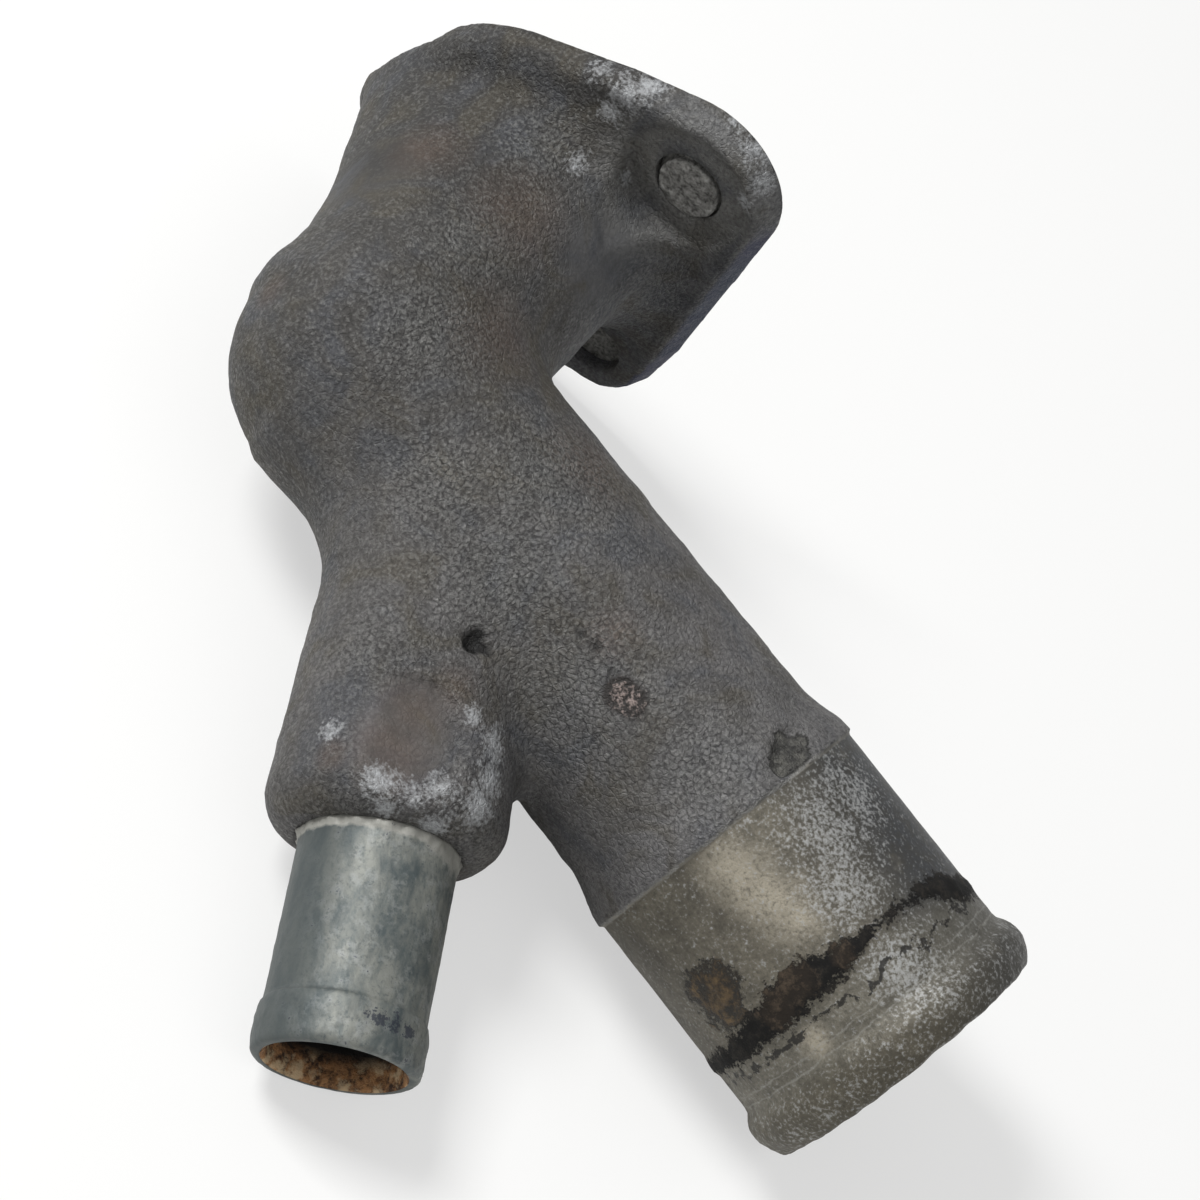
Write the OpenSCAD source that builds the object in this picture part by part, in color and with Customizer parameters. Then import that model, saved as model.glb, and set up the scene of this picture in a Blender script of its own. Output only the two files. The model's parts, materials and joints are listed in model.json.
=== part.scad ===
/* [Hose neck] */
// Outer diameter of the machined neck that the radiator hose slides over
hose_neck_d = 38.4; // [30:0.2:46]
// Length of the machined neck, from the collar to the bead
hose_neck_len = 28; // [20:0.5:40]
// Inner diameter of the passage at the mouth of the hose neck
hose_mouth_d = 31; // [24:0.5:36]
// How far the bead stands out from the neck all round
hose_bead_rise = 1.4; // [1:0.1:2.5]
// Length of the bead, up to the end of the neck
hose_bead_len = 7; // [5:0.5:9]

/* [Main pipe] */
// Length from the centre of the elbow to the collar
main_run = 72.5; // [58:0.5:90]
// Outer diameter of the cast pipe at the elbow
main_root_d = 34.4; // [32:0.2:40]
// Outer diameter of the cast pipe just before the collar
main_tip_d = 36.2; // [33:0.2:38]
// Length over which the pipe flares out to the collar
collar_flare_len = 9; // [6:0.5:14]
// How far the collar stands out from the machined neck
collar_step = 0.5; // [0.3:0.1:1.5]
// Diameter of the cored passage at the elbow
elbow_bore_d = 27.2; // [22:0.2:29]

/* [Flange] */
// Distance from the centre of the elbow to the gasket face
neck_run = 42.2; // [38:0.1:54]
// Angle between the main pipe and the line from the elbow to the flange
neck_angle = 102.3; // [90:0.1:120]
// Diameter of the straight passage through the flange and its neck
flange_bore_d = 29; // [24:0.5:31]
// Outer diameter of the neck at the elbow
neck_tip_d = 34; // [32:0.2:38]
// Outer diameter of the neck above its root flare
neck_root_d = 37; // [35:0.5:40]
// How far the root flare widens the neck all round
neck_flare = 2; // [1:0.1:3]
// Height of the root flare above the flange
neck_flare_len = 8; // [5:0.5:12]
// Thickness of the flange
flange_t = 4.2; // [4:0.2:10]
// Diameter of the round middle of the flange
flange_d = 48; // [46:0.5:60]
// Radius of the ear round the upper bolt
upper_ear_r = 12.4; // [10:0.1:14]
// Distance from the centre of the flange to the upper bolt
upper_bolt_offset = 26; // [25:0.5:32]
// Direction of the upper bolt round the flange
upper_bolt_angle = 55; // [45:1:65]
// Radius of the ear round the bolt under the elbow's inner side
inner_ear_r = 10; // [9:0.1:13]
// Radius of the ear round the bolt under the elbow's outer side
outer_ear_r = 11.4; // [9:0.1:13]
// Distance from the centre of the flange to the bolt under the elbow's inner side
inner_bolt_offset = 25.5; // [25:0.5:32]
// Direction of the bolt under the elbow's inner side
inner_bolt_angle = 311; // [300:1:320]
// Distance from the centre of the flange to the bolt under the elbow's outer side
outer_bolt_offset = 28; // [25:0.5:32]
// Direction of the bolt under the elbow's outer side
outer_bolt_angle = 237; // [226:1:246]
// Radius of the end of the web that braces the neck above the outer lower ear
web_r = 16; // [12:0.5:17]
// How far the end of the web stands off the middle of the flange
web_offset = 8.5; // [6:0.5:10]
// Direction of the web round the flange
web_angle = 205; // [190:1:220]
// Height of the web above the flange
web_height = 17; // [12:0.5:22]
// Radius of the small lug on the rim, above the outer lower ear
lug_r = 7.5; // [6:0.5:9]
// Distance from the centre of the flange to the centre of the lug
lug_offset = 23.5; // [20:0.5:25]
// Direction of the lug round the flange
lug_angle = 206; // [196:1:216]
// How far the sloping rim draws in the face that the bolts bear on
rim_slope = 2; // [1:0.1:3]
// Thickness of the upright part of the rim, at the gasket face
rim_land = 1.2; // [1:0.1:3]
// Diameter of the bolt holes
bolt_hole_d = 9.5; // [6.5:0.5:11]
// Diameter of the spot face cut round each bolt for its head
spot_face_d = 19; // [16:0.5:22]
// How deep the spot faces are cut into the flange
spot_face_depth = 0.6; // [0.3:0.1:1.5]
// How far above the flange a spot face also clears the neck
spot_face_reach = 7; // [4:0.5:12]

/* [Branch] */
// Angle between the main pipe and the branch
branch_angle = 50.5; // [40:0.5:65]
// Distance from the centre of the elbow to where the branch leaves the main pipe
branch_start = 18; // [10:0.5:30]
// Length of the cast branch from the main pipe's axis to its end face
boss_len = 49.5; // [42:0.5:60]
// Diameter of the cast branch where it leaves the main pipe
boss_root_d = 25.6; // [22:0.2:28]
// Diameter of the cast branch at its end
boss_tip_d = 29.2; // [27:0.2:34]
// Radius of the rounded edge at the end of the cast branch
boss_round = 5; // [2:0.5:6]
// Diameter of the cored passage that leads to the tube
branch_bore_d = 17.4; // [12:0.2:18]
// How deep the tube is pressed into the branch
socket_depth = 18; // [12:1:26]

/* [Heater tube] */
// Outer diameter of the steel tube
tube_d = 19; // [14:0.5:20]
// Wall of the steel tube
tube_wall = 1.2; // [0.8:0.1:2]
// Length of the tube outside the branch
tube_reach = 26.5; // [20:0.5:45]
// How far the bead at the tube's end stands out all round
tube_bead_rise = 0.6; // [0.4:0.1:1.5]
// Length of the tube's bead
tube_bead_len = 6; // [4:0.5:8]
// Clearance all round between the tube and its socket
tube_fit = 0.02; // [0.01:0.01:0.1]

/* [Hidden] */
$fn = 96;
// How far cuts run past the faces they open
cut = 1;
// How much wider the elbow's round core is than the pipe's, so that it takes in both ends
elbow_bore_ease = 0.6;
// Segments in each rounded stretch of a turned profile
arc_steps = 8;
// Degrees between the points of the flange's outline
outline_step = 4;
// Sides of the rounds that a hull wraps
hull_sides = 32;
// Rounds of correction that find the resting direction
settle_rounds = 8;

// The three pipe axes lie in one plane, with the elbow at the origin and the
// main pipe along +X. The flange is reached along flange_dir, the branch along
// branch_dir from branch_at.
main_dir = [1, 0, 0];
flange_dir = [cos(neck_angle), sin(neck_angle), 0];
flange_side = [sin(neck_angle), -cos(neck_angle), 0];
branch_dir = [cos(branch_angle), -sin(branch_angle), 0];
branch_at = branch_start * main_dir;

collar_d = hose_neck_d + 2 * collar_step;
main_len = main_run + hose_neck_len + hose_bead_len;
tube_bore_d = tube_d - 2 * tube_wall;
tube_start = boss_len - socket_depth;
tube_end = boss_len + tube_reach;
seat_z = neck_run - flange_t;
rim_z = neck_run - rim_land;
lug_t = (flange_t + rim_land) / 2;
gasket_at = neck_run * flange_dir;

function unit(v) = v / norm(v);

// Points of an arc in a profile, from angle a0 to a1
function arc(centre, r, a0, a1, steps = arc_steps) =
    [for (i = [0:steps]) centre + polar(r, a0 + (a1 - a0) * i / steps)];

// Half-round bead of a given rise and length that ends a neck, in a profile
function bead(neck_r, rise, start, length) =
    [for (i = [0:arc_steps])
        let (a = 180 * i / arc_steps)
        [neck_r + rise * sin(a), start + length * (1 - cos(a)) / 2]];

function polar(r, a) = r * [cos(a), sin(a)];

// Centres of the bolts, on the flange's own plane
upper_bolt = polar(upper_bolt_offset, upper_bolt_angle);
inner_bolt = polar(inner_bolt_offset, inner_bolt_angle);
outer_bolt = polar(outer_bolt_offset, outer_bolt_angle);
bolts = [upper_bolt, inner_bolt, outer_bolt];

hose_bead = bead(hose_neck_d / 2, hose_bead_rise, main_run + hose_neck_len, hose_bead_len);
tube_bead = bead(tube_d / 2, tube_bead_rise, tube_end - tube_bead_len, tube_bead_len);

// Centres and radii of the rounds that the flange's outline wraps
flange_rounds = [
    [[0, 0], flange_d / 2],
    [upper_bolt, upper_ear_r],
    [inner_bolt, inner_ear_r],
    [outer_bolt, outer_ear_r]
];

// Furthest point of the flange's outline in direction a, drawn in by an inset
function furthest(a, inset) =
    let (
        d = [cos(a), sin(a)],
        reaches = [for (c = flange_rounds) c[0] * d + c[1]],
        c = flange_rounds[search(max(reaches), reaches)[0]]
    )
    c[0] + (c[1] - inset) * d;

function flange_outline(inset = 0) =
    [for (a = [0:outline_step:360 - outline_step]) furthest(a, inset)];

// Of a list of points, the one that is lowest when "up" is up
function lowest(points, up) =
    let (heights = [for (p = points) p * up])
    points[search(min(heights), heights)[0]];

// Lowest point of a circle
function ring_foot(centre, axis, r, up) = centre - r * unit(up - (up * axis) * axis);

// Lowest point of a bead on a neck that leaves "from" along "dir"
function bead_foot(profile, from, dir, up) =
    lowest([for (p = profile) ring_foot(from + p[1] * dir, dir, p[0], up)], up);

// Lowest point of the flange, on the edge of its upright rim
function flange_foot(up) =
    lowest([for (c = flange_rounds)
        ring_foot(rim_z * flange_dir + c[0][0] * flange_side + [0, 0, c[0][1]], flange_dir, c[1], up)], up);

// Upward direction once the body has settled on its flange and its two beads
function settled_up(up, rounds) =
    rounds == 0 ? up :
    let (
        hose = bead_foot(hose_bead, [0, 0, 0], main_dir, up),
        tube = bead_foot(tube_bead, branch_at, branch_dir, up),
        flange = flange_foot(up)
    )
    settled_up(unit(cross(flange - tube, hose - tube) * -1), rounds - 1);

rest_up = settled_up([0, 0, 1], settle_rounds);

// Lays the casting as it rests, with the centre of its gasket face at the origin
module at_rest() {
    rotate(a = acos(rest_up[2]), v = cross(rest_up, [0, 0, 1]))
        translate(-gasket_at)
            children();
}

// Stands a shape that was made along +Z on one of the pipe axes
module along(dir, from = [0, 0, 0]) {
    translate(from)
        rotate([0, 90, atan2(dir[1], dir[0])])
            children();
}

// Turns a profile of [radius, distance] points about its axis
module turned(profile) {
    rotate_extrude()
        polygon(profile);
}

module main_pipe() {
    along(main_dir)
        turned(concat(
            arc([0, 0], main_root_d / 2, -90, 0),
            [[main_tip_d / 2, main_run - collar_flare_len],
             [(main_tip_d + collar_d) / 4, main_run - collar_flare_len / 3],
             [collar_d / 2, main_run - collar_step],
             [collar_d / 2, main_run],
             [hose_neck_d / 2, main_run]],
            hose_bead,
            [[0, main_len]]
        ));
}

module neck() {
    along(flange_dir)
        turned([
            [0, 0],
            [neck_tip_d / 2, 0],
            [neck_root_d / 2, seat_z - neck_flare_len],
            [neck_root_d / 2 + neck_flare / 3, seat_z - neck_flare_len / 3],
            [neck_root_d / 2 + neck_flare, seat_z],
            [neck_root_d / 2 + neck_flare, neck_run],
            [0, neck_run]
        ]);
}

// The flange's own X runs along flange_side, and its Y straight up out of the axes' plane
module on_flange(z) {
    multmatrix([
        [flange_side[0], 0, flange_dir[0], z * flange_dir[0]],
        [flange_side[1], 0, flange_dir[1], z * flange_dir[1]],
        [0, 1, 0, 0]
    ])
        children();
}

module flange() {
    on_flange(seat_z)
        hull() {
            linear_extrude(flange_t)
                polygon(flange_outline(rim_slope));
            translate([0, 0, flange_t - rim_land])
                linear_extrude(rim_land)
                    polygon(flange_outline());
        }
    on_flange(neck_run - lug_t)
        translate(polar(lug_offset, lug_angle))
            cylinder(r = lug_r, h = lug_t);
}

// Runs from the neck's own outline out to a wider foot on the flange
module web() {
    hull() {
        on_flange(seat_z)
            translate(polar(web_offset, web_angle))
                cylinder(r = web_r, h = flange_t / 2, $fn = hull_sides);
        on_flange(seat_z - web_height)
            cylinder(r = web_r, h = cut, $fn = hull_sides);
    }
}

module boss() {
    along(branch_dir, branch_at)
        turned(concat(
            [[0, 0], [boss_root_d / 2, 0]],
            arc([boss_tip_d / 2 - boss_round, boss_len - boss_round], boss_round, 0, 90),
            [[0, boss_len]]
        ));
}

module passages() {
    along(flange_dir)
        cylinder(d = flange_bore_d, h = neck_run + cut);
    sphere(d = elbow_bore_d + elbow_bore_ease);
    along(main_dir) {
        cylinder(d1 = elbow_bore_d, d2 = hose_mouth_d, h = main_run);
        translate([0, 0, main_run])
            cylinder(d = hose_mouth_d, h = main_len - main_run + cut);
    }
    along(branch_dir, branch_at) {
        cylinder(d = branch_bore_d, h = boss_len);
        translate([0, 0, tube_start])
            cylinder(d = tube_d + 2 * tube_fit, h = socket_depth + cut);
    }
}

module bolt_holes() {
    for (b = bolts)
        on_flange(seat_z)
            translate(b) {
                translate([0, 0, -cut])
                    cylinder(d = bolt_hole_d, h = flange_t + 2 * cut);
                translate([0, 0, -spot_face_reach])
                    cylinder(d = spot_face_d, h = spot_face_reach + spot_face_depth);
            }
}

module cast_body() {
    color("#55524d")
        at_rest()
            difference() {
                union() {
                    main_pipe();
                    neck();
                    flange();
                    web();
                    boss();
                }
                passages();
                bolt_holes();
            }
}

module heater_tube() {
    color("#7f8886")
        at_rest()
            along(branch_dir, branch_at)
                turned(concat(
                    [[tube_bore_d / 2, tube_start], [tube_d / 2, tube_start]],
                    tube_bead,
                    [[tube_bore_d / 2, tube_end]]
                ));
}

cast_body();
heater_tube();
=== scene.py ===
import json
import math

import bmesh
import bpy
import numpy as np
from mathutils import Matrix, Vector, noise


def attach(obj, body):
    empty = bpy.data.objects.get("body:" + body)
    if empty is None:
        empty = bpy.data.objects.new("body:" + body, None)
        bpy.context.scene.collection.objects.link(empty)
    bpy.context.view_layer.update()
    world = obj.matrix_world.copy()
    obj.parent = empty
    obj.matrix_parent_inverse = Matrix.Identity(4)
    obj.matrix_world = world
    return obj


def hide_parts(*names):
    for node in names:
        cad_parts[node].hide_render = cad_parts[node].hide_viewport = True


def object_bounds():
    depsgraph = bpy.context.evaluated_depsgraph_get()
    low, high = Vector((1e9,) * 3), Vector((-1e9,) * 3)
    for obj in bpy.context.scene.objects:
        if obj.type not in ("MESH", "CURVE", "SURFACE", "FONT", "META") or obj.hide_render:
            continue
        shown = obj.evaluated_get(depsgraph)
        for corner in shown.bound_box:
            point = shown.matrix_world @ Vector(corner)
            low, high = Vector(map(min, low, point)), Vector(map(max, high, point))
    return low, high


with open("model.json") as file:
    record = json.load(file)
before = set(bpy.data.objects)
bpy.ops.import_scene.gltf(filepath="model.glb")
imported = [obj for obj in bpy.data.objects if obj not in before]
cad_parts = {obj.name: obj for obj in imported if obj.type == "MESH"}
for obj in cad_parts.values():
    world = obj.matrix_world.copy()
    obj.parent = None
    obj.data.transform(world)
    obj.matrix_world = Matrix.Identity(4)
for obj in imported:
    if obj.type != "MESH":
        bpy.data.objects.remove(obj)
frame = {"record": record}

cad_low, cad_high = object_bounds()


# Cast body: one sand casting in aluminium. It is an elbow with a bolting flange, a main
# pipe whose end was turned for the hose, and a side branch that the heater tube is pressed
# into. Cored passages, spot faces and bolt holes open it up.
MM = 0.001

mounts = {m["name"]: m for m in frame["record"]["mounts"]}


def mount_at(name):
    """Where a mount lies in the part's frame, in mm."""
    return np.array(mounts[name]["pos_m"]) / MM


def mount_axis(name):
    """The way a mount faces, of length 1."""
    axis = np.array(mounts[name]["axis"])
    return axis / np.linalg.norm(axis)


def mount_radius(name):
    return mounts[name]["dims"]["r_mm"]


# The casting's own axes: the elbow's centre is the origin, the main pipe runs along X and
# Z stands out of the plane that holds the three pipe axes. All sizes below are in mm.
neck_run = mounts["coolant_port"]["dims"]["length_mm"]
main_way = mount_axis("hose_passage")
up_way = np.cross(main_way, mount_axis("coolant_port"))
up_way /= np.linalg.norm(up_way)
casting_axes = np.stack([main_way, np.cross(up_way, main_way), up_way], axis=1)
elbow_at = mount_at("coolant_port") - neck_run * mount_axis("coolant_port")


def in_casting(point):
    """A point of the part's frame, in the casting's axes."""
    return (point - elbow_at) @ casting_axes


middle_of_elbow = np.zeros(3)
main_dir = np.array([1.0, 0, 0])
up_dir = np.array([0, 0, 1.0])
flange_dir = mount_axis("coolant_port") @ casting_axes
flange_side = np.array([flange_dir[1], -flange_dir[0], 0.0])
branch_dir = mount_axis("heater_passage") @ casting_axes
tube_end_at = in_casting(mount_at("heater_passage"))
branch_at = tube_end_at - branch_dir * tube_end_at[1] / branch_dir[1]
mouth_inset = 0.05
main_len = in_casting(mount_at("hose_passage"))[0] - mouth_inset

hose_neck_r = mount_radius("hose_neck")
hose_neck_len = mounts["hose_neck"]["dims"]["length_mm"]
bead_len = 7.0
bead_rise = 1.4
collar_x = main_len - bead_len - hose_neck_len
collar_r = hose_neck_r + 0.5
elbow_r, elbow_core_r = 17.2, 14.0
main_tip_r = 18.1
main_bore_rs = [13.6, 15.5, 15.5, 15.5]
neck_root_r, neck_mid_r, port_r = 17.0, 17.6, 14.5
flange_thick = 4.2
seat_z = neck_run - flange_thick
boss_len = 49.5
boss_root_r, boss_tip_r, branch_bore_r = 12.8, 14.6, 8.7
filed_flat_z, filed_flat_lean = 13.6, 0.02
pad_at, pad_r = np.array([41.5, -32.5, 12.8]), 7.4
tube_r = mount_radius("heater_tube_end")
socket_depth, socket_play = 18.0, 0.03
bolt_r = mount_radius("upper_bolt")
spot_face_r, spot_face_depth = 8.7, 0.4

bolts = [in_casting(mount_at(f"{which}_bolt")) for which in ("upper", "inner", "outer")]
bolt_uv = [np.array([b @ flange_side, b[2]]) for b in bolts]
port_round_r, ear_rs = 24.0, (12.2, 9.6, 11.2)
flange_rounds = [(np.zeros(2), port_round_r)] + list(zip(bolt_uv, ear_rs))
lug_away, lug_turn, lug_r = 23.5, math.radians(206), 7.5
lug_uv = lug_away * np.array([math.cos(lug_turn), math.sin(lug_turn)])
web_turn, web_start, web_r = math.radians(205), 5.0, 16.0
web_way = np.array([math.cos(web_turn), math.sin(web_turn)])


def joined(a, b, r):
    """Both shapes, with a fillet of radius r in the corner between them."""
    return np.maximum(r, np.minimum(a, b)) - np.hypot(np.maximum(r - a, 0), np.maximum(r - b, 0))


def shared(a, b, r):
    """What lies in both shapes, with its edge rounded to radius r."""
    return np.minimum(-r, np.maximum(a, b)) + np.hypot(np.maximum(r + a, 0), np.maximum(r + b, 0))


def turned(points, start, way, stations, radii, edge=0.4):
    """Distance to a shape turned about an axis, whose radius follows the stations."""
    local = points - start
    s = local @ way
    rho = np.sqrt(np.maximum((local * local).sum(1) - s * s, 0))
    side = rho - np.interp(s, stations, radii)
    ends = np.maximum(stations[0] - s, s - stations[-1])
    return shared(side, ends, edge)


def plate(points, outline, bottom, top, low_edge, top_edge):
    """Distance to a flat plate on the flange, with its two rims rounded on their own."""
    h = points @ flange_dir
    return shared(shared(outline, bottom - h, low_edge), h - top, top_edge)


def flange_outline(points):
    """Distance to the convex outline that wraps the flange's rounds, in its own plane."""
    u, v = points @ flange_side, points[:, 2]
    reach = np.full(len(points), -np.inf)
    for a in np.radians(np.arange(0, 360, 5)):
        c, s = math.cos(a), math.sin(a)
        support = max(centre[0] * c + centre[1] * s + r for centre, r in flange_rounds)
        np.maximum(reach, u * c + v * s - support, out=reach)
    return reach


def cast_outside(points):
    """Distance to the casting before anything is cored, drilled or filed out of it."""
    flare = np.linspace(0, 1, 12)
    flare_len = 8
    main = turned(points, middle_of_elbow, main_dir, [0, *(collar_x - flare_len + flare_len * flare)],
                  [elbow_r, *(main_tip_r + (collar_r - main_tip_r) * flare ** 2 * (3 - 2 * flare))])
    elbow = np.linalg.norm(points, axis=1) - elbow_r
    neck = turned(points, middle_of_elbow, flange_dir,
                  [0, 22, neck_run - 1], [neck_root_r, neck_mid_r, neck_mid_r])
    boss = turned(points, branch_at, branch_dir,
                  [0, 45, boss_len], [boss_root_r, boss_tip_r, boss_tip_r], 5.0)
    filed_flat = (points[:, 2] - filed_flat_z) - filed_flat_lean * (points[:, 0] - 42)
    boss = shared(boss, filed_flat, 0.8)
    h = points @ flange_dir
    u, v = points @ flange_side, points[:, 2]
    lean = 0.44 * np.clip(h - web_start, 0, seat_z - web_start) - 1.5
    web = np.hypot(u - lean * web_way[0], v - lean * web_way[1]) - web_r
    web = np.maximum(web * 0.9, np.maximum(web_start - h, h - seat_z - 1))
    rim_edge = 1.0 + 1.6 * np.clip((8 - u) / 16, 0, 1)
    root_fillet = 3.2 + 4.8 * np.clip((u + 4) / 14, 0, 1)
    root_fillet = np.maximum(root_fillet, 3.2 + 3.8 * np.clip((v - 8) / 8, 0, 1))
    draft = 0.45 * np.clip(u / 10, 0, 1) * (neck_run - h)
    flange = plate(points, flange_outline(points) + draft, seat_z, neck_run, rim_edge, 0.5)
    lug = np.hypot(u - lug_uv[0], v - lug_uv[1]) - lug_r
    lug = plate(points, lug, neck_run - 2.8, neck_run, 1.0, 0.5)
    body = joined(joined(main, elbow, 2.0), neck, 4.0)
    body = joined(body, web, 4.0)
    body = joined(body, joined(flange, lug, 0.8), root_fillet)
    body = joined(body, boss, 5.0)
    turned_end = turned(points, middle_of_elbow, main_dir,
                        [collar_x - 1.5, collar_x, main_len], [hose_neck_r] * 3, 0.7)
    x = points[:, 0]
    along_bead = np.clip((x - (main_len - bead_len)) / bead_len, 0, 1)
    rho = np.hypot(points[:, 1], points[:, 2])
    bead = rho - hose_neck_r - bead_rise * np.sin(math.pi * along_bead ** 0.9) + 0.05
    bead = shared(bead, np.abs(x - (main_len - bead_len / 2)) - bead_len / 2, 1.5)
    return joined(np.minimum(body, turned_end), bead, 0.8)


def cast_cores(points):
    """Distance to the passages: the sand cores' shapes, the mouth's bevel and the tube's socket."""
    bore = turned(points, middle_of_elbow, main_dir,
                  [0, collar_x, main_len, main_len + 3], main_bore_rs, 0.1)
    mouth = turned(points, middle_of_elbow, main_dir,
                   [main_len - 1.2, main_len, main_len + 3], [15.3, 16.5, 19.5], 0.1)
    port = turned(points, middle_of_elbow, flange_dir, [0, neck_run + 3], [port_r] * 2, 0.1)
    core = np.linalg.norm(points, axis=1) - elbow_core_r
    passage = turned(points, branch_at, branch_dir, [0, boss_len], [branch_bore_r] * 2, 0.1)
    socket = turned(points, branch_at, branch_dir,
                    [boss_len - socket_depth, boss_len + 3], [tube_r + socket_play] * 2, 0.1)
    opened = joined(joined(bore, port, 1.5), core, 1.5)
    opened = np.minimum(np.minimum(opened, mouth), joined(passage, opened, 1.5))
    return np.minimum(opened, socket)


def round_bolts(points, start, end, r):
    """Distance to a plain cylinder on each bolt, from start to end past the flange's seat."""
    seats = [b - flange_dir * (b @ flange_dir - seat_z) for b in bolts]
    holes = [turned(points, seat, flange_dir, [start, end], [r, r], 0.3) for seat in seats]
    return np.minimum.reduce(holes)


def cast_distance(points):
    """Distance to the finished casting, less than nought inside the metal."""
    spot_faces = round_bolts(points, -8, spot_face_depth, spot_face_r)
    body = shared(cast_outside(points), -spot_faces, 1.1)
    filed_pad = turned(points, pad_at, up_dir, [0, 5], [pad_r, pad_r], 0.3)
    opened = np.minimum(np.minimum(cast_cores(points), round_bolts(points, -3, 8, bolt_r)), filed_pad)
    return shared(body, -opened, 0.35)


def slope(distance, points, step=0.05):
    """Direction in which the distance grows, at each point."""
    grown = np.empty_like(points)
    for k in range(3):
        d = np.zeros(3)
        d[k] = step
        grown[:, k] = distance(points + d) - distance(points - d)
    return grown / np.maximum(np.linalg.norm(grown, axis=1, keepdims=True), 1e-9)


def skin_of(distance, axes):
    """Closed skin of quads where the distance is nought, with its corners kept crisp. Where a
    square of the grid is solid only across its diagonal, it is filled, or the skin would pinch."""
    shape = np.array([len(a) for a in axes])
    grid = np.stack(np.meshgrid(*axes, indexing="ij"), -1).reshape(-1, 3)
    value = np.concatenate([distance(part) for part in np.array_split(grid, 24)])
    solid = (value < 0).reshape(shape)
    for k in (0, 1, 2) * 3:
        layer = np.moveaxis(solid, k, 0)
        a, b, c, d = layer[:, :-1, :-1], layer[:, 1:, :-1], layer[:, 1:, 1:], layer[:, :-1, 1:]
        pinched = (a == c) & (b == d) & (a != b)
        a |= pinched
        b |= pinched
    solid = solid.ravel()
    strides = np.array([shape[1] * shape[2], shape[2], 1])
    index = np.arange(len(value)).reshape(shape)[1:-1, 1:-1, 1:-1].ravel()
    crossings, around, flips = [], [], []
    for k in range(3):
        a, b = index, index + strides[k]
        cut = solid[a] != solid[b]
        a, b = a[cut], b[cut]
        starts_in = solid[a][:, None]
        inner, outer = np.where(starts_in, grid[a], grid[b]), np.where(starts_in, grid[b], grid[a])
        for _ in range(5):
            middle = (inner + outer) / 2
            inside = (distance(middle) < 0)[:, None]
            inner, outer = np.where(inside, middle, inner), np.where(inside, outer, middle)
        crossings.append((inner + outer) / 2)
        p, q = strides[(k + 1) % 3], strides[(k + 2) % 3]
        around.append(np.stack([a, a - p, a - p - q, a - q], 1))
        flips.append(~solid[a])
    crossings, around, flips = (np.concatenate(parts) for parts in (crossings, around, flips))
    normals = slope(distance, crossings)
    cells, corner = np.unique(around.ravel(), return_inverse=True)
    corner = corner.reshape(-1, 4)

    def gathered(amount):
        return sum(np.bincount(corner[:, j], amount, len(cells)) for j in range(4))

    count = gathered(np.ones(len(corner)))
    centre = np.stack([gathered(crossings[:, i]) / count for i in range(3)], 1)
    height = (normals * crossings).sum(1)
    pull = np.stack([[gathered(normals[:, i] * normals[:, j]) for j in range(3)] for i in range(3)])
    aim = np.stack([gathered(normals[:, i] * height) for i in range(3)], 1)
    hold = 0.08 * count
    pull = pull.transpose(2, 0, 1) + hold[:, None, None] * np.eye(3)
    aim += hold[:, None] * centre
    best = np.linalg.solve(pull, aim[:, :, None])[:, :, 0]
    best = np.clip(best, grid[cells], grid[cells + strides.sum()])
    return best, np.where(flips[:, None], corner[:, ::-1], corner)


cell = 0.78
close_cell = 0.28
step_at = collar_x + close_cell * (np.arange(6) - 2.5)
axes = [
    np.concatenate([np.arange(step_at[0] - cell, -40, -cell)[::-1], step_at,
                    np.arange(step_at[-1] + cell, main_len + 2 * cell, cell)]),
    np.arange(-50, 58, cell),
    np.arange(-42, 42, cell)]
skin, quads = skin_of(cast_distance, axes)
outward = slope(cast_distance, skin)
for _ in range(2):
    skin = skin - outward * np.clip(cast_distance(skin), -0.3, 0.3)[:, None]
outward = slope(cast_distance, skin)


def grain(points, size, octaves=2, shift=0.0):
    """Noise between about -1 and 1, whose lumps are size mm across."""
    spots = points / size + shift
    return np.array([noise.fractal(Vector(s), 1.0, 2.0, octaves) for s in spots])


def near(points, places):
    """How deep each point lies in the nearest of the round patches, from 0 at its edge to 1."""
    depth = np.zeros(len(points))
    for x, y, z, r in places:
        away = np.linalg.norm(points - np.array([x, y, z]), axis=1)
        np.maximum(depth, 1 - away / r, out=depth)
    return depth


def surface_kind(points):
    """Which finish a point of the skin has: cast, turned neck, milled gasket face or passage."""
    kind = np.zeros(len(points), int)
    outside = cast_outside(points)
    height = points @ flange_dir
    kind[(outside > -0.6) & (points[:, 0] > collar_x)] = NECK
    kind[(height > neck_run - 0.3) & (points[:, 0] < 40)] = GASKET
    kind[(outside < -0.6) & (np.abs(cast_cores(points)) < 0.5) & (kind != GASKET)] = PASSAGE
    return kind


CAST, NECK, GASKET, PASSAGE = range(4)
skin_kind = surface_kind(skin)
quad_kind = surface_kind(skin[quads].mean(1))
lumps = 0.14 * grain(skin, 4.5, 3) + 0.07 * grain(skin, 1.7, 2, 9.1)
lumps *= np.choose(skin_kind, [1.0, 0.3, 0.1, 1.3])
bead_share = np.clip((skin[:, 0] - (main_len - 9)) / 3, 0, 1) * (skin_kind == NECK)
lumps += bead_share * (0.2 * grain(skin, 3.0, 3, 4.4) - 0.1)

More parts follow.
